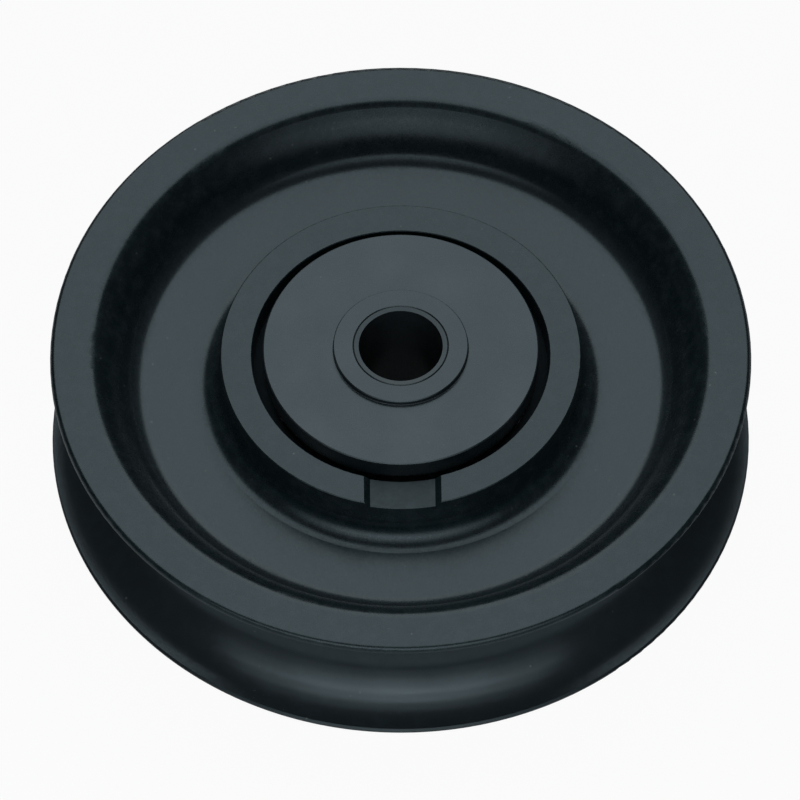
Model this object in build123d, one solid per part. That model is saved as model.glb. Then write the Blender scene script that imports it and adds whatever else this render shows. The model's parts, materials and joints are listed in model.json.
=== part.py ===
from build123d import *
import os
from math import asin, atan2, cos, degrees, radians, sin, sqrt, tan

# A rope sheave with its own ball bearing, lying flat on its lower boss.
# Millimetres. The origin is the centre of the axle bore, on the mid-plane of the rope groove.
# +Z runs along the axle, towards the front face. -Y is the side with the notch in the hub.

# Moulded sheave body
RIM_DIAMETER = 100.0
RIM_WIDTH = 22.3
RIM_LAND = 1.1              # cylindrical edge left beside the mouth of the rope groove
RIM_EDGE_ROUND = 0.75
GROOVE_LIP_CHAMFER = 0.25
GROOVE_DEPTH = 8.6
FLANGE_WALL = 3.4           # wall between the rope groove and the recess beside it
FLANGE_INNER_ROUND = 2.5
WEB_THICKNESS = 7.6
WEB_FILLET = 3.15
HUB_WALL = 4.7
HUB_WIDTH = 22.3
HUB_DRAFT = 2.0             # degrees
HUB_EDGE_CHAMFER = 0.12
SEAT_LEAD_IN = 0.25         # how much wider the hub opens than the bearing seat
SEAT_LEAD_DEPTH = 2.2
SHOULDER_THICKNESS = 2.5
SHOULDER_HEIGHT = 2.0
NOTCH_WIDTH = 9.25
NOTCH_DEPTH = 0.8
NOTCH_SIDE_ANGLE = 42.5     # degrees from the floor of the notch
SEAM_ANGLE = 35.0           # degrees round from +X to where the turned faces of the body close

# Deep groove ball bearing, 20 x 42 x 12
BEARING_BORE = 20.0
BEARING_DIAMETER = 42.0
BEARING_WIDTH = 12.0
BEARING_CORNER = 0.6
RING_GAP = 3.8              # radial gap between the two rings, beside the balls
BALL_DIAMETER = 6.35
BALL_COUNT = 9
FIRST_BALL_ANGLE = 90.0     # degrees round from +X, so that the notch's plane halves the set
BALL_CLEARANCE = 0.02       # radial running clearance of a ball in each raceway
RACEWAY_RATIO = 0.52        # raceway radius over ball diameter

# Riveted ball cage
CAGE_SHEET = 0.7
CAGE_BAND = 2.8
POCKET_CLEARANCE = 0.1
RIVET_DIAMETER = 1.0
RIVET_HEAD_DIAMETER = 1.9
RIVET_HEAD_HEIGHT = 0.35

# Seals
SEAL_THICKNESS = 0.8
SEAL_INSET = 0.5            # how far the seal lies below the face of the bearing
SEAL_SEAT_WALL = 2.4        # wall of the outer ring around the seal
SEAL_GAP = 0.3              # between the lip and the inner ring
SEAL_LIP = 0.35             # depth of the dished lip
SEAL_DISH = 1.2             # radial width of the dished lip
SEAL_BEND = 0.6             # radial width of the slope up from it

# Internal retaining ring for the bearing seat
RETAINER_THICKNESS = 1.75
RETAINER_GROOVE_DEPTH = 1.25
RETAINER_PLAY = 0.1
RETAINER_BACK = 4.1         # radial width opposite the opening
RETAINER_TIP = 2.6          # radial width beside the lugs
RETAINER_OPENING = 36.0     # degrees between the lugs' centres
RETAINER_LUG = 5.4          # reach of a lug from the groove floor
RETAINER_LUG_WIDTH = 5.0
RETAINER_HOLE = 2.5

# Cover discs, clamped on the bearing's inner ring
COVER_SIDE_GAP = 1.35       # between the edge of a cover and the bearing seat
COVER_THICKNESS = 3.2
COVER_GAP = 1.0             # between a cover and the shoulder behind it
COVER_EDGE_CHAMFER = 0.15
COLLAR_WALL = 2.5           # how far the collar stands out around the bearing's bore
COLLAR_FLARE = 0.8
BOSS_DIAMETER = 19.25
BOSS_HEIGHT = 0.8
BOSS_FILLET = 0.12
BOSS_EDGE_CHAMFER = 0.12
SLEEVE_GAP = 0.4            # between the ends of the two cover sleeves

# Axle tube through both covers
AXLE_DIAMETER = 12.0
TUBE_WALL = 0.76
TUBE_CHAMFER = 0.12
TUBE_FLARE = 0.62           # how far the bore opens at each end, to lead the axle in
TUBE_FLARE_DEPTH = 0.1

CUT_PAST = 1.0              # how far a cut runs on past the face that it opens
WALL_SHARE = 0.7            # largest share of a wall that a round on its edge takes

RIM_R = RIM_DIAMETER / 2
RIM_Z = RIM_WIDTH / 2
HUB_Z = HUB_WIDTH / 2
WEB_Z = WEB_THICKNESS / 2
SEAT_R = BEARING_DIAMETER / 2
HUB_R = SEAT_R + HUB_WALL
BEARING_Z = BEARING_WIDTH / 2
BALL_R = BALL_DIAMETER / 2
PITCH_R = (BEARING_BORE + BEARING_DIAMETER) / 4
FIRST_RIVET_ANGLE = FIRST_BALL_ANGLE + 180 / BALL_COUNT
RACEWAY_R = RACEWAY_RATIO * BALL_DIAMETER
INNER_SHOULDER_R = PITCH_R - RING_GAP / 2
OUTER_SHOULDER_R = PITCH_R + RING_GAP / 2
SEAL_SEAT_R = SEAT_R - SEAL_SEAT_WALL
SHOULDER_Z = BEARING_Z + SHOULDER_THICKNESS
COVER_R = SEAT_R - COVER_SIDE_GAP
COVER_BACK_Z = SHOULDER_Z + COVER_GAP
COVER_FACE_Z = COVER_BACK_Z + COVER_THICKNESS
BOSS_FACE_Z = COVER_FACE_Z + BOSS_HEIGHT
TUBE_R = AXLE_DIAMETER / 2 + TUBE_WALL

# The rope groove is one arc through both edges of its mouth and its root.
MOUTH_Z = RIM_Z - RIM_LAND
GROOVE_R = (MOUTH_Z**2 + GROOVE_DEPTH**2) / (2 * GROOVE_DEPTH)
GROOVE_CENTRE = RIM_R - GROOVE_DEPTH + GROOVE_R


def nearest_corner(face, r, z):
    """The corner of a half section that lies nearest to radius r and height z."""
    return face.vertices().sort_by_distance((r, z))[0]


def rounded(section, r, z, radius):
    """The section with its corner nearest to (r, z) rounded."""
    return fillet([nearest_corner(section, r, z)], radius)


def chamfered(section, r, z, length):
    """The section with its corner nearest to (r, z) chamfered."""
    return chamfer([nearest_corner(section, r, z)], length)


def turned(section):
    """The solid of revolution about +Z of a section drawn as radius and height."""
    return revolve(Plane.XZ * section, axis=Axis.Z)


def block(r_low, r_high, z_low, z_high):
    """A rectangular section between two radii and two heights."""
    corners = [(r_low, z_low), (r_high, z_low), (r_high, z_high), (r_low, z_high)]
    return make_face(Polyline(*corners, close=True))


def around_axis(shape, count, start):
    """Equally spaced copies around +Z of a shape that lies on +X, the first turned by start."""
    return [Rot(0, 0, start + 360 * i / count) * shape for i in range(count)]


def recess_section():
    """Half section of the space in front of the web and the hub, inside the front flange.

    Its outer wall is an arc around the centre of the rope groove, so that the flange
    keeps an even wall, and both sides run into the web through the same fillet.
    """
    wall_r = GROOVE_R + FLANGE_WALL
    web_end = GROOVE_CENTRE - sqrt(wall_r**2 - WEB_Z**2)
    rim_end = GROOVE_CENTRE - sqrt(wall_r**2 - RIM_Z**2)
    middle_angle = (asin(WEB_Z / wall_r) + asin(RIM_Z / wall_r)) / 2
    middle = (GROOVE_CENTRE - wall_r * cos(middle_angle), wall_r * sin(middle_angle))
    top = max(RIM_Z, HUB_Z) + CUT_PAST
    hub_foot = (HUB_R + (HUB_Z - WEB_Z) * tan(radians(HUB_DRAFT)), WEB_Z)
    corners = [(rim_end, RIM_Z), (rim_end, top), (0, top), (0, HUB_Z), (HUB_R, HUB_Z), hub_foot]
    outline = [
        Polyline(*corners, (web_end, WEB_Z)),
        ThreePointArc((web_end, WEB_Z), middle, (rim_end, RIM_Z)),
    ]
    recess = make_face(outline)
    radius = min(WEB_FILLET, WALL_SHARE * (RIM_Z - WEB_Z))
    bottom = [nearest_corner(recess, HUB_R, WEB_Z), nearest_corner(recess, web_end, WEB_Z)]
    return fillet(bottom, radius), rim_end


def sheave_section():
    """Half section of the moulded body: rim, rope groove, web and hub."""
    recess, rim_end = recess_section()
    opening_r = SEAT_R + SEAT_LEAD_IN
    lead_z = HUB_Z - SEAT_LEAD_DEPTH
    section = block(0, RIM_R, -RIM_Z, RIM_Z) + block(0, rim_end, -HUB_Z, HUB_Z)
    section -= recess
    section -= mirror(recess, about=Plane.XZ)
    section -= Pos(GROOVE_CENTRE, 0) * Circle(GROOVE_R)
    section -= block(0, SEAT_R, -BEARING_Z, HUB_Z + CUT_PAST)
    section -= block(0, SEAT_R - SHOULDER_HEIGHT, -HUB_Z - CUT_PAST, BEARING_Z)
    section -= block(0, SEAT_R, -HUB_Z - CUT_PAST, -SHOULDER_Z)
    for side in (1, -1):
        cone = [(0, side * lead_z), (SEAT_R, side * lead_z), (opening_r, side * HUB_Z), (0, side * HUB_Z)]
        section -= make_face(Polyline(*cone, close=True))
    retainer_r = SEAT_R + RETAINER_GROOVE_DEPTH
    retainer_top = BEARING_Z + RETAINER_THICKNESS + RETAINER_PLAY
    section -= block(0, retainer_r, BEARING_Z, retainer_top)
    edge_round = min(RIM_EDGE_ROUND, WALL_SHARE * RIM_LAND)
    lip_chamfer = min(GROOVE_LIP_CHAMFER, (1 - WALL_SHARE) * RIM_LAND)
    for side in (1, -1):
        section = rounded(section, RIM_R, side * RIM_Z, edge_round)
        section = chamfered(section, RIM_R, side * MOUTH_Z, lip_chamfer)
        section = rounded(section, rim_end, side * RIM_Z, FLANGE_INNER_ROUND)
        section = chamfered(section, HUB_R, side * HUB_Z, HUB_EDGE_CHAMFER)
        section = chamfered(section, opening_r, side * HUB_Z, HUB_EDGE_CHAMFER)
    return section


def sheave_body():
    """The moulded wheel, with the notch across its front hub face."""
    body = Rot(0, 0, SEAM_ANGLE) * turned(sheave_section())
    floor_z = HUB_Z - NOTCH_DEPTH
    top = HUB_Z + CUT_PAST
    floor_half = NOTCH_WIDTH / 2
    top_half = floor_half + (top - floor_z) / tan(radians(NOTCH_SIDE_ANGLE))
    outline = [(-floor_half, floor_z), (floor_half, floor_z), (top_half, top), (-top_half, top)]
    notch = Plane.XZ * make_face(Polyline(*outline, close=True))
    return body - extrude(notch, amount=HUB_R + CUT_PAST)


def outer_ring():
    """Outer ring of the bearing, with its raceway and a seal seat at each face."""
    seal_step = BEARING_Z - SEAL_INSET - SEAL_THICKNESS
    groove_centre = PITCH_R + BALL_R + BALL_CLEARANCE - RACEWAY_R
    section = block(OUTER_SHOULDER_R, SEAT_R, -BEARING_Z, BEARING_Z)
    section -= Pos(groove_centre, 0) * Circle(RACEWAY_R)
    for side in (1, -1):
        section -= block(0, SEAL_SEAT_R, side * seal_step, side * (BEARING_Z + CUT_PAST))
    corners = [nearest_corner(section, SEAT_R, side * BEARING_Z) for side in (1, -1)]
    return turned(chamfer(corners, BEARING_CORNER))


def inner_ring():
    """Inner ring of the bearing, with its raceway."""
    groove_centre = PITCH_R - BALL_R - BALL_CLEARANCE + RACEWAY_R
    section = block(BEARING_BORE / 2, INNER_SHOULDER_R, -BEARING_Z, BEARING_Z)
    section -= Pos(groove_centre, 0) * Circle(RACEWAY_R)
    corners = [nearest_corner(section, BEARING_BORE / 2, side * BEARING_Z) for side in (1, -1)]
    return turned(chamfer(corners, BEARING_CORNER))


def ball(index):
    """One ball, in its place on the pitch circle."""
    return around_axis(Pos(PITCH_R, 0, 0) * Sphere(BALL_R), BALL_COUNT, FIRST_BALL_ANGLE)[index]


def cage_half(side):
    """One pressed half of the cage: a flat band that arches over each ball.

    side is 1 for the front half and -1 for the rear half.
    """
    low_r = PITCH_R - CAGE_BAND / 2
    high_r = PITCH_R + CAGE_BAND / 2
    pocket_r = BALL_R + POCKET_CLEARANCE
    arch_r = pocket_r + CAGE_SHEET
    across = CAGE_BAND + 2 * CUT_PAST
    arch = Pos(PITCH_R, 0, 0) * Rot(0, 90, 0) * Cylinder(arch_r, across)
    pocket = Pos(PITCH_R, 0, 0) * Rot(0, 90, 0) * Cylinder(pocket_r, across)
    rivet_hole = Pos(PITCH_R, 0, 0) * Cylinder(RIVET_DIAMETER / 2, 2 * (CAGE_SHEET + CUT_PAST))
    ribbon = Cylinder(SEAT_R, CAGE_SHEET, align=(Align.CENTER, Align.CENTER, Align.MIN))
    ribbon = ribbon + around_axis(arch, BALL_COUNT, FIRST_BALL_ANGLE)
    ribbon = ribbon - around_axis(pocket, BALL_COUNT, FIRST_BALL_ANGLE)
    ribbon = ribbon - around_axis(rivet_hole, BALL_COUNT, FIRST_RIVET_ANGLE)
    half = ribbon & turned(block(low_r, high_r, 0, arch_r + CUT_PAST))
    return half if side > 0 else mirror(half, about=Plane.XY)


def cage_rivets():
    """The rivets that hold the two cage halves together, a separate solid each."""
    outline = [
        (0, CAGE_SHEET + RIVET_HEAD_HEIGHT),
        (RIVET_HEAD_DIAMETER / 2, CAGE_SHEET + RIVET_HEAD_HEIGHT),
        (RIVET_HEAD_DIAMETER / 2, CAGE_SHEET),
        (RIVET_DIAMETER / 2, CAGE_SHEET),
    ]
    outline += [(r, -z) for r, z in reversed(outline)]
    rivet = Pos(PITCH_R, 0, 0) * turned(make_face(Polyline(*outline, close=True)))
    return Compound(around_axis(rivet, BALL_COUNT, FIRST_RIVET_ANGLE))


def seal(side):
    """Seal plate in the outer ring, dished towards its lip."""
    face_z = BEARING_Z - SEAL_INSET
    lip_r = INNER_SHOULDER_R + SEAL_GAP
    dish_r = lip_r + SEAL_DISH
    bend_r = dish_r + SEAL_BEND
    outline = [
        (lip_r, face_z - SEAL_LIP),
        (dish_r, face_z - SEAL_LIP),
        (bend_r, face_z),
        (SEAL_SEAT_R, face_z),
        (SEAL_SEAT_R, face_z - SEAL_THICKNESS),
        (bend_r, face_z - SEAL_THICKNESS),
        (dish_r, face_z - SEAL_THICKNESS),
        (lip_r, face_z - SEAL_THICKNESS),
    ]
    plate = turned(make_face(Polyline(*outline, close=True)))
    return plate if side > 0 else mirror(plate, about=Plane.XY)


def retaining_ring():
    """Spring ring in the hub, in front of the bearing, opening towards the notch."""
    outer_r = SEAT_R + RETAINER_GROOVE_DEPTH
    inner_r = outer_r - (RETAINER_BACK + RETAINER_TIP) / 2
    offset = (RETAINER_BACK - RETAINER_TIP) / 2
    half_opening = RETAINER_OPENING / 2
    mouth = half_opening - degrees(atan2(RETAINER_LUG_WIDTH / 2, outer_r))
    ring = Circle(outer_r) - Pos(0, -offset) * Circle(inner_r)
    arm_length = RETAINER_LUG - RETAINER_LUG_WIDTH / 2
    arm = Rectangle(arm_length, RETAINER_LUG_WIDTH, align=(Align.MIN, Align.CENTER))
    lug = arm + Circle(RETAINER_LUG_WIDTH / 2)
    for sign in (1, -1):
        place = Rot(0, 0, -90 + sign * half_opening) * Pos(outer_r - arm_length, 0)
        ring += (place * lug) & Circle(outer_r)
        ring -= place * Circle(RETAINER_HOLE / 2)
    reach = 2 * outer_r
    gap = [
        (0, 0),
        (reach * sin(radians(mouth)), -reach * cos(radians(mouth))),
        (-reach * sin(radians(mouth)), -reach * cos(radians(mouth))),
    ]
    ring -= make_face(Polyline(*gap, close=True))
    return Pos(0, 0, BEARING_Z) * extrude(ring, amount=RETAINER_THICKNESS)


def cover(side):
    """Cover disc with its boss, collar and sleeve, turned about the axle bore."""
    sleeve_r = BEARING_BORE / 2
    collar_r = sleeve_r + COLLAR_WALL
    outline = [
        (TUBE_R, SLEEVE_GAP / 2),
        (sleeve_r, SLEEVE_GAP / 2),
        (sleeve_r, BEARING_Z),
        (collar_r, BEARING_Z),
        (collar_r, COVER_BACK_Z),
        (COVER_R, COVER_BACK_Z),
        (COVER_R, COVER_FACE_Z),
        (BOSS_DIAMETER / 2, COVER_FACE_Z),
        (BOSS_DIAMETER / 2, BOSS_FACE_Z),
        (TUBE_R, BOSS_FACE_Z),
    ]
    section = make_face(Polyline(*outline, close=True))
    section = chamfered(section, collar_r, COVER_BACK_Z, COLLAR_FLARE)
    section = chamfered(section, COVER_R, COVER_BACK_Z, COVER_EDGE_CHAMFER)
    section = chamfered(section, COVER_R, COVER_FACE_Z, COVER_EDGE_CHAMFER)
    boss_fillet = min(BOSS_FILLET, WALL_SHARE * BOSS_HEIGHT)
    section = rounded(section, BOSS_DIAMETER / 2, COVER_FACE_Z, boss_fillet)
    section = chamfered(section, BOSS_DIAMETER / 2, BOSS_FACE_Z, BOSS_EDGE_CHAMFER)
    section = chamfered(section, TUBE_R, BOSS_FACE_Z, TUBE_CHAMFER)
    section = chamfered(section, sleeve_r, SLEEVE_GAP / 2, BEARING_CORNER)
    body = turned(section)
    return body if side > 0 else mirror(body, about=Plane.XY)


def axle_tube():
    """Thin tube through both covers, flush with the two bosses."""
    flare_z = BOSS_FACE_Z - TUBE_FLARE_DEPTH
    section = block(AXLE_DIAMETER / 2, TUBE_R, -BOSS_FACE_Z, BOSS_FACE_Z)
    for side in (1, -1):
        section = chamfered(section, TUBE_R, side * BOSS_FACE_Z, TUBE_CHAMFER)
        flare = [
            (AXLE_DIAMETER / 2, side * flare_z),
            (AXLE_DIAMETER / 2 + TUBE_FLARE, side * BOSS_FACE_Z),
            (AXLE_DIAMETER / 2, side * BOSS_FACE_Z),
        ]
        section -= make_face(Polyline(*flare, close=True))
    return turned(section)


def build():
    """Every sub-part, by the name of its node."""
    parts = {
        "sheave_body": sheave_body(),
        "front_cover": cover(1),
        "rear_cover": cover(-1),
        "axle_tube": axle_tube(),
        "bearing_inner_ring": inner_ring(),
        "bearing_outer_ring": outer_ring(),
        "bearing_seal_front": seal(1),
        "bearing_seal_rear": seal(-1),
        "cage_half_front": cage_half(1),
        "cage_half_rear": cage_half(-1),
        "cage_rivets": cage_rivets(),
        "retaining_ring": retaining_ring(),
    }
    for index in range(BALL_COUNT):
        parts[f"ball_{index + 1}"] = ball(index)
    return parts


os.makedirs("parts", exist_ok=True)
for node, shape in build().items():
    export_step(shape, f"parts/{node}.step")
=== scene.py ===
import json
from math import cos, pi, radians, sin, tan

import bpy
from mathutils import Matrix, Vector


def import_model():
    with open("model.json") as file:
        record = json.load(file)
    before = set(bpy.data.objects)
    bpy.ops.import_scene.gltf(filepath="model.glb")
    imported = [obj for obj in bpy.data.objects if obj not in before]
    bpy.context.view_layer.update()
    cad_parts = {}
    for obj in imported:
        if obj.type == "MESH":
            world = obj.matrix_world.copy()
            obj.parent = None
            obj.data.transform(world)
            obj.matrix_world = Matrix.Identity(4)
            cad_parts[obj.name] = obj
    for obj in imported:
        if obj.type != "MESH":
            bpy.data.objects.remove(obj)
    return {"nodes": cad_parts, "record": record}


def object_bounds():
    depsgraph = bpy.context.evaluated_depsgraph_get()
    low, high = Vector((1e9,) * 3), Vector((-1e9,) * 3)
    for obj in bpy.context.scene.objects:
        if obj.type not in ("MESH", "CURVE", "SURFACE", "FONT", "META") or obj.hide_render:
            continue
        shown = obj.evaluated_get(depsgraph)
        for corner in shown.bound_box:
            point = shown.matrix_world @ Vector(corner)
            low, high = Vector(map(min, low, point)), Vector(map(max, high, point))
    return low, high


# The rope sheave lies on its rear boss on a pale studio floor. Metres, in the frame of the CAD.
# -Y is the side with the notch, and the camera stands on that side.

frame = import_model()
cad_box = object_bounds()

MM = 0.001
WHITE = (1.0, 1.0, 1.0, 1.0)

# Where the materials, and the painted light on the web, change on the sheave.
GROOVE_CENTRE = 51.57 * MM      # from the axle's line to the centre of the groove's round section
GROOVE_RADIUS = 10.17 * MM
GROOVE_EDGE = (1.02, 1.06)      # in groove radii, where the burnish and its painted sheen fade out
NOTCH_FLOOR = 10.35 * MM        # height of the notch's floor above the middle of the sheave
NOTCH_LEVEL = (0.03 * MM, 0.05 * MM)    # away from that height, where its finish ends
NOTCH_OUTSIDE = (1.01, 1.02)    # in hub radii, where its finish ends
HUB_RADIUS = 25.7 * MM
# Radii of the painted light on the web, and the width of its fade.
WEB_INNER = 27.5 * MM
WEB_OUTER = 40.0 * MM
WEB_FADE = 3.0 * MM

# Specks of dust, one in each cell of their pattern, in patches.
SPECK_EDGE = (0.03, 0.09)       # distances from the middle of a speck, in cells
PATCH_EDGE = (0.52, 0.60)       # values of the noise between which a patch fades in
PATCH_CELLS = 6.0               # cells in the width of a patch

COOL_SHEEN = (0.70, 0.90, 1.0, 1.0)
STEEL = ((0.36, 0.37, 0.38), (0.42, 0.43, 0.44), (0.47, 0.48, 0.49))
BLACKENED = ((0.010, 0.014, 0.017), (0.013, 0.018, 0.021), (0.017, 0.023, 0.026))
PHOSPHATED = ((0.002, 0.004, 0.006), (0.003, 0.006, 0.008), (0.005, 0.009, 0.011))

FLOOR_HALF = 6.0        # half the floor's side
FLOOR_WHITE = 0.95      # share of plain white in the floor as the camera sees it
FLOOR_SHEEN = 0.18      # the same share, as reflections see it
FLOOR_PAINTED_SHADOW = 0.04        # and the share that is left under the sheave, as a painted shadow
FLOOR_SHADE = (15 * MM, 40 * MM)    # from the middle, where the painted shadow under the sheave fades into the sheen
SKY_LIGHT = 0.04

CAMERA_AZIMUTH = -0.7   # angles in degrees
CAMERA_ELEVATION = 56.6
CAMERA_DISTANCE = 2.43
CAMERA_LENS = 764.0     # millimetres, as is the sensor
CAMERA_SENSOR = 36.0
CAMERA_FAR = 50.0
CAMERA_TARGET = (-0.1 * MM, 0.0, -0.6 * MM)

OVERHEAD_AZIMUTH = 180.0
OVERHEAD_ELEVATION = 54.0
OVERHEAD_DISTANCE = 1.5
OVERHEAD_WIDTH = 1.4
OVERHEAD_HEIGHT = 1.85
OVERHEAD_RADIANCE = 1.5

BANK_ROWS = ((10.0, 0.18), (22.0, 0.5), (34.0, 1.0), (46.0, 0.8), (58.0, 0.25))  # elevation, share
BANK_ROW_STEP = 12.0
BANK_SIDE = 2           # lamps on each side of the middle one
BANK_SIDE_STEP = 20.0
BANK_AZIMUTH = -3.0
BANK_REACH = 75.0       # angle from the middle at which the bank has faded out
BANK_DISTANCE = 0.4
BANK_RADIANCE = 3.5
BANK_AIM = 0.12         # short of the origin
BANK_BEAM = 52.0
OPEN_BEAM = 180.0       # of a lamp without a grid

MIX_FACTOR, MIX_FIRST, MIX_SECOND, MIX_RESULT = 0, 6, 7, 2  # the mix node's sockets for colours
WAVE_RATE = 20.0        # radians of the wave texture in one unit of its scaled distance
NOISE_LOW, NOISE_HIGH = 0.3, 0.7        # most of a noise lies between these


# ---------------------------------------------------------------- materials

class Nodes:
    """A small helper that builds one material's node tree, over the object's own coordinates."""

    def __init__(self, name):
        self.material = bpy.data.materials.new(name)
        self.material.use_nodes = True
        self.tree = self.material.node_tree
        self.shader = self.tree.nodes["Principled BSDF"]
        self.place = self.add("ShaderNodeTexCoord").outputs["Object"]

    def add(self, kind, **settings):
        node = self.tree.nodes.new(kind)
        for key, value in settings.items():
            setattr(node, key, value)
        return node

    def link(self, output, node_input):
        self.tree.links.new(output, node_input)

    def noise(self, size, detail=3.0, roughness=0.5):
        """Noise whose features are about size metres wide, from 0 to 1."""
        node = self.add("ShaderNodeTexNoise")
        node.inputs["Scale"].default_value = 1.0 / size
        node.inputs["Detail"].default_value = detail
        node.inputs["Roughness"].default_value = roughness
        self.link(self.place, node.inputs["Vector"])
        return node.outputs["Fac"]

    def rings(self, width, distortion):
        """Fine turning marks around the axle, one in every 2 pi times the width."""
        node = self.add("ShaderNodeTexWave", wave_type="RINGS", rings_direction="Z")
        node.inputs["Scale"].default_value = 1.0 / (WAVE_RATE * width)
        node.inputs["Distortion"].default_value = distortion
        self.link(self.place, node.inputs["Vector"])
        return node.outputs["Fac"]

    def spread(self, value, low, high, source_low=NOISE_LOW, source_high=NOISE_HIGH):
        """A value mapped from its source range to low and high, and held there beyond it."""
        node = self.add("ShaderNodeMapRange")
        node.inputs["From Min"].default_value = source_low
        node.inputs["From Max"].default_value = source_high
        node.inputs["To Min"].default_value = low
        node.inputs["To Max"].default_value = high
        self.link(value, node.inputs["Value"])
        return node.outputs["Result"]

    def colours(self, value, *stops):
        """A colour ramp with evenly spaced stops over the range where most of a noise lies."""
        node = self.add("ShaderNodeValToRGB")
        ramp = node.color_ramp
        while len(ramp.elements) < len(stops):
            ramp.elements.new(0.5)
        step = (NOISE_HIGH - NOISE_LOW) / (len(stops) - 1)
        for i, colour in enumerate(stops):
            ramp.elements[i].position = NOISE_LOW + step * i
            ramp.elements[i].color = (*colour, 1.0)
        self.link(value, node.inputs["Fac"])
        return node.outputs["Color"]

    def mix(self, factor, colour, plain):
        """A colour mixed with a plain one, which covers it where the factor is 1."""
        node = self.add("ShaderNodeMix", data_type="RGBA")
        self.link(factor, node.inputs[MIX_FACTOR])
        self.link(colour, node.inputs[MIX_FIRST])
        node.inputs[MIX_SECOND].default_value = (*plain, 1.0)
        return node.outputs[MIX_RESULT]

    def math(self, operation, first, second=0.0):
        """A sum, product or the like of a value and a second value or plain number."""
        node = self.add("ShaderNodeMath", operation=operation)
        self.link(first, node.inputs[0])
        if isinstance(second, float):
            node.inputs[1].default_value = second
        else:
            self.link(second, node.inputs[1])
        return node.outputs[0]

    def bump(self, *layers):
        """Bumps stacked on each other, each from a pair of a height and its depth in metres."""
        normal = None
        for height, depth in layers:
            node = self.add("ShaderNodeBump")
            node.inputs["Strength"].default_value = 1.0
            node.inputs["Distance"].default_value = depth
            self.link(height, node.inputs["Height"])
            if normal is not None:
                self.link(normal, node.inputs["Normal"])
            normal = node.outputs["Normal"]
        self.link(normal, self.shader.inputs["Normal"])

    def surface(self, colour, roughness, **constants):
        """The linked colour and roughness, and the shader's plain values by their names."""
        self.link(colour, self.shader.inputs["Base Color"])
        self.link(roughness, self.shader.inputs["Roughness"])
        for name, value in constants.items():
            self.shader.inputs[name.replace("_", " ")].default_value = value


def dust_mask(nodes, size, share):
    """Sparse round specks, as of dust and mould release: share in them, and 0 elsewhere."""
    cells = nodes.add("ShaderNodeTexVoronoi", feature="F1")
    cells.inputs["Scale"].default_value = 1.0 / size
    nodes.link(nodes.place, cells.inputs["Vector"])
    speck = nodes.spread(cells.outputs["Distance"], 1.0, 0.0, *SPECK_EDGE)
    picked = nodes.spread(nodes.noise(PATCH_CELLS * size, 1.0), 0.0, share, *PATCH_EDGE)
    return nodes.math("MULTIPLY", speck, picked)


def hypotenuse(nodes, first, second):
    """The length of two values taken at right angles."""
    squares = [nodes.math("MULTIPLY", value, value) for value in (first, second)]
    return nodes.math("SQRT", nodes.math("ADD", *squares))


def radius_and_height(nodes):
    """The distance from the axle's line, and the height along it."""
    split = nodes.add("ShaderNodeSeparateXYZ")
    nodes.link(nodes.place, split.inputs[0])
    x, y, z = split.outputs
    return hypotenuse(nodes, x, y), z


def groove_mask(nodes):
    """1 on the surface of the rope groove and 0 elsewhere, with a soft edge at its lips."""
    radius, z = radius_and_height(nodes)
    reach = hypotenuse(nodes, nodes.math("SUBTRACT", radius, GROOVE_CENTRE), z)
    start, end = [share * GROOVE_RADIUS for share in GROOVE_EDGE]
    return nodes.spread(reach, 1.0, 0.0, start, end)


def notch_mask(nodes):
    """1 on the floor of the notch in the hub ring, which is left coarser, and 0 elsewhere."""
    radius, z = radius_and_height(nodes)
    away = nodes.math("ABSOLUTE", nodes.math("SUBTRACT", z, NOTCH_FLOOR))
    level = nodes.spread(away, 1.0, 0.0, *NOTCH_LEVEL)
    start, end = [share * HUB_RADIUS for share in NOTCH_OUTSIDE]
    return nodes.math("MULTIPLY", level, nodes.spread(radius, 1.0, 0.0, start, end))


def painted_web_light_mask(nodes):
    """1 at the web's radii, where painted light makes the sheave a little paler, and 0 at the rim and
    the hub.
    """
    radius, _ = radius_and_height(nodes)
    inner = nodes.spread(radius, 0.0, 1.0, WEB_INNER, WEB_INNER + WEB_FADE)
    outer = nodes.spread(radius, 1.0, 0.0, WEB_OUTER - WEB_FADE, WEB_OUTER)
    return nodes.math("MULTIPLY", inner, outer)


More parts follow.
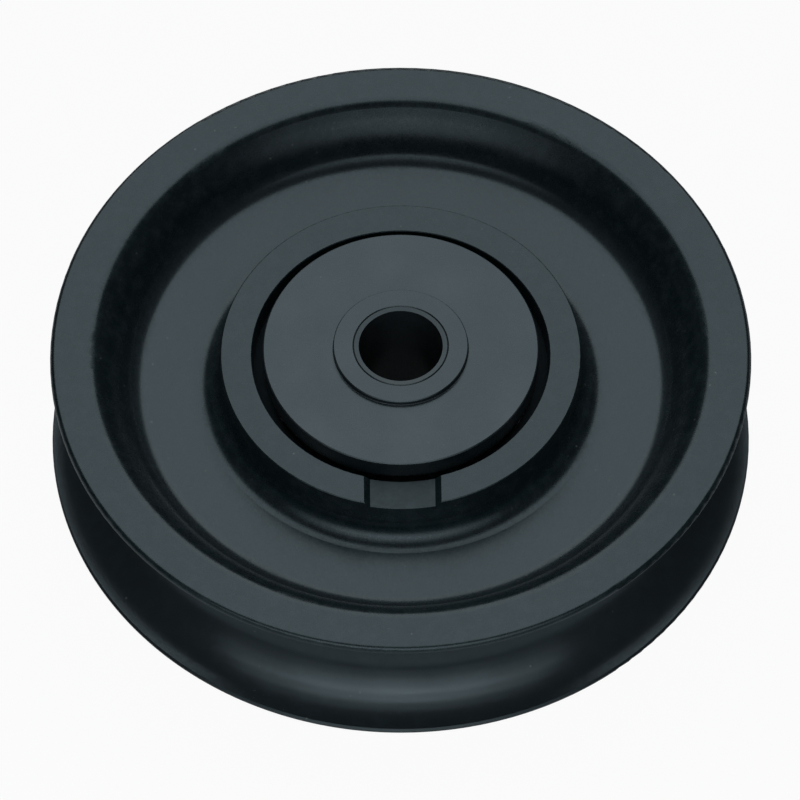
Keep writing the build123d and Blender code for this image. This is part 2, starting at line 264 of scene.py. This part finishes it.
def moulded_polyamide():
    """Dark blue-grey moulded nylon: a satin skin with a fine mottle, burnished by the rope, with
    painted sheen in the groove and painted light on the web.
    """
    tones = ((0.004, 0.009, 0.011), (0.005, 0.011, 0.013), (0.006, 0.013, 0.015))
    dark = (0.004, 0.008, 0.010)
    burnish_and_painted_sheen = (0.015, 0.021, 0.024)
    cloudy = (0.018, 0.028, 0.032)
    # the web's painted light
    pale = (0.020, 0.029, 0.033)
    dust = (0.16, 0.17, 0.17)

    nodes = Nodes("moulded_polyamide")
    groove = groove_mask(nodes)
    flow = nodes.noise(14 * MM, 4.0, 0.6)
    mottle = nodes.noise(0.5 * MM, 3.0, 0.6)
    grain = nodes.noise(0.25 * MM, 2.0)
    blotch = nodes.noise(2.2 * MM, 4.0, 0.65)
    colour = nodes.colours(flow, *tones)
    colour = nodes.mix(nodes.spread(mottle, 0.0, 0.35), colour, dark)
    # Painted sheen: the rope groove is made lighter, partly as burnish wear and partly to brighten
    # its highlight.
    colour = nodes.mix(nodes.math("MULTIPLY", groove, 0.9), colour, burnish_and_painted_sheen)
    colour = nodes.mix(nodes.spread(blotch, 0.0, 0.6, 0.45, 0.7), colour, cloudy)
    # Painted light: the web is made a little paler.
    colour = nodes.mix(nodes.math("MULTIPLY", painted_web_light_mask(nodes), 0.75), colour, pale)
    colour = nodes.mix(dust_mask(nodes, 2.4 * MM, 0.5), colour, dust)
    skin = nodes.math("ADD", nodes.spread(mottle, 0.24, 0.32), nodes.spread(flow, -0.02, 0.02))
    roughness = nodes.math("SUBTRACT", skin, nodes.math("MULTIPLY", groove, 0.06))
    roughness = nodes.math("ADD", roughness, nodes.math("MULTIPLY", notch_mask(nodes), 0.22))
    nodes.surface(colour, roughness, Specular_IOR_Level=0.55, Specular_Tint=COOL_SHEEN)
    nodes.bump((flow, 0.010 * MM), (blotch, 0.008 * MM), (mottle, 0.003 * MM), (grain, 0.0006 * MM))
    return nodes.material


def cover_plastic():
    """The covers' smoother plastic, with a faint turned sheen."""
    tones = ((0.004, 0.009, 0.012), (0.011, 0.017, 0.020), (0.022, 0.029, 0.033))
    dust = (0.15, 0.16, 0.16)

    nodes = Nodes("cover_plastic")
    flow = nodes.noise(9 * MM, 3.0)
    mottle = nodes.noise(1.1 * MM, 3.0)
    colour = nodes.colours(flow, *tones)
    colour = nodes.mix(dust_mask(nodes, 1.8 * MM, 0.4), colour, dust)
    roughness = nodes.spread(mottle, 0.24, 0.30)
    nodes.surface(colour, roughness, Specular_IOR_Level=0.7, Specular_Tint=COOL_SHEEN)
    nodes.bump((flow, 0.006 * MM), (mottle, 0.0025 * MM), (nodes.rings(0.25 * MM, 0.5), 0.0002 * MM))
    return nodes.material


def dark_steel(name, tones, low, high, mark, level):
    """Blackened or phosphated steel, slightly uneven, with turning marks.

    Its roughness goes from low to high, and level is the strength of its reflections.
    """
    nodes = Nodes(name)
    patches = nodes.noise(3 * MM, 4.0, 0.65)
    grain = nodes.noise(0.1 * MM, 2.0)
    colour = nodes.colours(patches, *tones)
    roughness = nodes.spread(grain, low, high)
    nodes.surface(colour, roughness, Specular_IOR_Level=level, Specular_Tint=COOL_SHEEN)
    nodes.bump((nodes.rings(mark, 1.0), 0.0012 * MM), (grain, 0.0008 * MM))
    return nodes.material


def bright_steel(name, tones, low, high, mark):
    """Ground, pressed or polished steel, with a roughness from low to high and turning marks."""
    nodes = Nodes(name)
    patches = nodes.noise(4 * MM, 3.0)
    grain = nodes.noise(0.08 * MM, 2.0)
    colour = nodes.colours(patches, *tones)
    nodes.surface(colour, nodes.spread(grain, low, high), Metallic=1.0)
    nodes.bump((nodes.rings(mark, 0.6), 0.0006 * MM), (grain, 0.0004 * MM))
    return nodes.material


def seal_rubber():
    """Matt black moulded rubber with a dusty bloom."""
    tones = ((0.010, 0.010, 0.011), (0.016, 0.016, 0.017), (0.024, 0.024, 0.025))

    nodes = Nodes("seal_rubber")
    bloom = nodes.noise(5 * MM, 4.0, 0.6)
    grain = nodes.noise(0.15 * MM, 3.0)
    colour = nodes.colours(bloom, *tones)
    nodes.surface(colour, nodes.spread(grain, 0.55, 0.75), Specular_IOR_Level=0.4)
    nodes.bump((grain, 0.004 * MM), (bloom, 0.004 * MM))
    return nodes.material


materials = {
    "moulded_polyamide": moulded_polyamide(),
    "cover_plastic": cover_plastic(),
    "blackened_steel": dark_steel("blackened_steel", BLACKENED, 0.26, 0.34, 0.12 * MM, 0.6),
    "spring_steel": dark_steel("spring_steel", PHOSPHATED, 0.7, 0.85, 0.2 * MM, 0.3),
    "bearing_steel": bright_steel("bearing_steel", STEEL, 0.30, 0.40, 0.1 * MM),
    "cage_steel": bright_steel("cage_steel", STEEL, 0.28, 0.42, 0.3 * MM),
    "ball_steel": bright_steel("ball_steel", STEEL, 0.05, 0.09, 0.5 * MM),
    "seal_rubber": seal_rubber(),
}

for subpart in frame["record"]["subparts"]:
    piece = frame["nodes"][subpart["node"]]
    piece.data.materials.clear()
    piece.data.materials.append(materials[subpart["material_slot"]])


# ---------------------------------------------------------------- studio

def direction(azimuth, elevation):
    """Unit vector towards a point of the sky: azimuth 0 is -Y, and 90 is +X."""
    a, e = radians(azimuth), radians(elevation)
    return Vector((sin(a) * cos(e), -cos(a) * cos(e), sin(e)))


def softbox(name, azimuth, elevation, distance, width, height, radiance, aim=0.0, beam=OPEN_BEAM):
    """A soft lamp in a direction from the origin, given by the brightness of its surface.

    It faces a point on the level of the origin, aim metres towards its own side, and a grid
    keeps its light within the beam.
    """
    lamp = bpy.data.lights.new(name, "AREA")
    lamp.shape = "RECTANGLE"
    lamp.size = width
    lamp.size_y = height
    lamp.spread = radians(beam)
    lamp.energy = radiance * width * height * pi
    if beam < OPEN_BEAM:    # a grid makes a lamp of the same power brighter within its beam
        lamp.energy *= 1 - lamp.spread / 2 / tan(lamp.spread / 2)
    lamp_object = bpy.data.objects.new(name, lamp)
    lamp_object.visible_camera = False
    lamp_object.location = direction(azimuth, elevation) * distance
    facing = lamp_object.location - direction(azimuth, 0.0) * aim
    lamp_object.rotation_euler = facing.to_track_quat("Z", "Y").to_euler()
    bpy.context.scene.collection.objects.link(lamp_object)


def front_bank():
    """A domed bank of gridded lamps on the camera's side, brightest in the middle.

    The grids are aimed short of the object, so that its near side gets more than its far side.
    """
    height = 2 * BANK_DISTANCE * tan(radians(BANK_ROW_STEP / 2))
    for row, (elevation, share) in enumerate(BANK_ROWS):
        width = 2 * BANK_DISTANCE * cos(radians(elevation)) * tan(radians(BANK_SIDE_STEP / 2))
        for i in range(-BANK_SIDE, BANK_SIDE + 1):
            turn = i * BANK_SIDE_STEP
            fade = cos(radians(90 * turn / BANK_REACH)) ** 2
            softbox(
                f"front_{row + 1}_{i + BANK_SIDE + 1}", BANK_AZIMUTH + turn, elevation, BANK_DISTANCE,
                width, height, BANK_RADIANCE * share * fade, BANK_AIM, BANK_BEAM,
            )


def floor():
    """The pale floor that the sheave lies on, nearly white to the camera, with a trace of shadow."""
    mesh = bpy.data.meshes.new("floor")
    level = cad_box[0][2]
    around = ((-FLOOR_HALF, -FLOOR_HALF), (FLOOR_HALF, -FLOOR_HALF),
              (FLOOR_HALF, FLOOR_HALF), (-FLOOR_HALF, FLOOR_HALF))
    corners = [(x, y, level) for x, y in around]
    mesh.from_pydata(corners, [], [(0, 1, 2, 3)])
    plane = bpy.data.objects.new("floor", mesh)
    bpy.context.scene.collection.objects.link(plane)
    nodes = Nodes("studio_floor")
    paper = nodes.noise(60 * MM, 3.0)
    colour = nodes.colours(paper, (0.40, 0.46, 0.48), (0.43, 0.49, 0.51))
    nodes.surface(colour, nodes.spread(paper, 0.7, 0.8))
    glow = nodes.add("ShaderNodeEmission")
    glow.inputs["Color"].default_value = WHITE
    path = nodes.add("ShaderNodeLightPath")
    direct = nodes.math("MULTIPLY", path.outputs["Is Camera Ray"], FLOOR_WHITE)
    length = nodes.add("ShaderNodeVectorMath", operation="LENGTH")
    nodes.link(nodes.place, length.inputs[0])
    # Painted shadow: the glow that reflections see is dimmed under the sheave.
    glow_with_painted_shadow = nodes.spread(length.outputs["Value"], FLOOR_PAINTED_SHADOW, FLOOR_SHEEN, *FLOOR_SHADE)
    reflected = nodes.math("MULTIPLY", path.outputs["Is Glossy Ray"], glow_with_painted_shadow)
    seen = nodes.math("ADD", direct, reflected)
    mixed = nodes.add("ShaderNodeMixShader")
    nodes.link(seen, mixed.inputs[0])
    nodes.link(nodes.shader.outputs[0], mixed.inputs[1])
    nodes.link(glow.outputs[0], mixed.inputs[2])
    nodes.link(mixed.outputs[0], nodes.tree.nodes["Material Output"].inputs["Surface"])
    plane.data.materials.append(nodes.material)


def world():
    """White to the camera, and a dimmer even grey as light."""
    sky = bpy.data.worlds.new("studio")
    sky.use_nodes = True
    tree = sky.node_tree
    tree.nodes.clear()
    seen = tree.nodes.new("ShaderNodeBackground")
    seen.inputs["Color"].default_value = WHITE
    light = tree.nodes.new("ShaderNodeBackground")
    light.inputs["Color"].default_value = WHITE
    light.inputs["Strength"].default_value = SKY_LIGHT
    path = tree.nodes.new("ShaderNodeLightPath")
    mixed = tree.nodes.new("ShaderNodeMixShader")
    out = tree.nodes.new("ShaderNodeOutputWorld")
    tree.links.new(path.outputs["Is Camera Ray"], mixed.inputs[0])
    tree.links.new(light.outputs[0], mixed.inputs[1])
    tree.links.new(seen.outputs[0], mixed.inputs[2])
    tree.links.new(mixed.outputs[0], out.inputs["Surface"])
    bpy.context.scene.world = sky


def camera():
    """A long lens on the notch side, looking down at the front face."""
    lens = bpy.data.cameras.new("camera")
    lens.lens = CAMERA_LENS
    lens.sensor_width = CAMERA_SENSOR
    lens.clip_end = CAMERA_FAR
    eye = bpy.data.objects.new("camera", lens)
    toward = direction(CAMERA_AZIMUTH, CAMERA_ELEVATION)
    eye.location = Vector(CAMERA_TARGET) + toward * CAMERA_DISTANCE
    eye.rotation_euler = toward.to_track_quat("Z", "Y").to_euler()
    bpy.context.scene.collection.objects.link(eye)
    bpy.context.scene.camera = eye


floor()
world()
camera()
softbox(
    "overhead", OVERHEAD_AZIMUTH, OVERHEAD_ELEVATION, OVERHEAD_DISTANCE,
    OVERHEAD_WIDTH, OVERHEAD_HEIGHT, OVERHEAD_RADIANCE,
)
front_bank()

bpy.context.scene.view_settings.view_transform = "Standard"
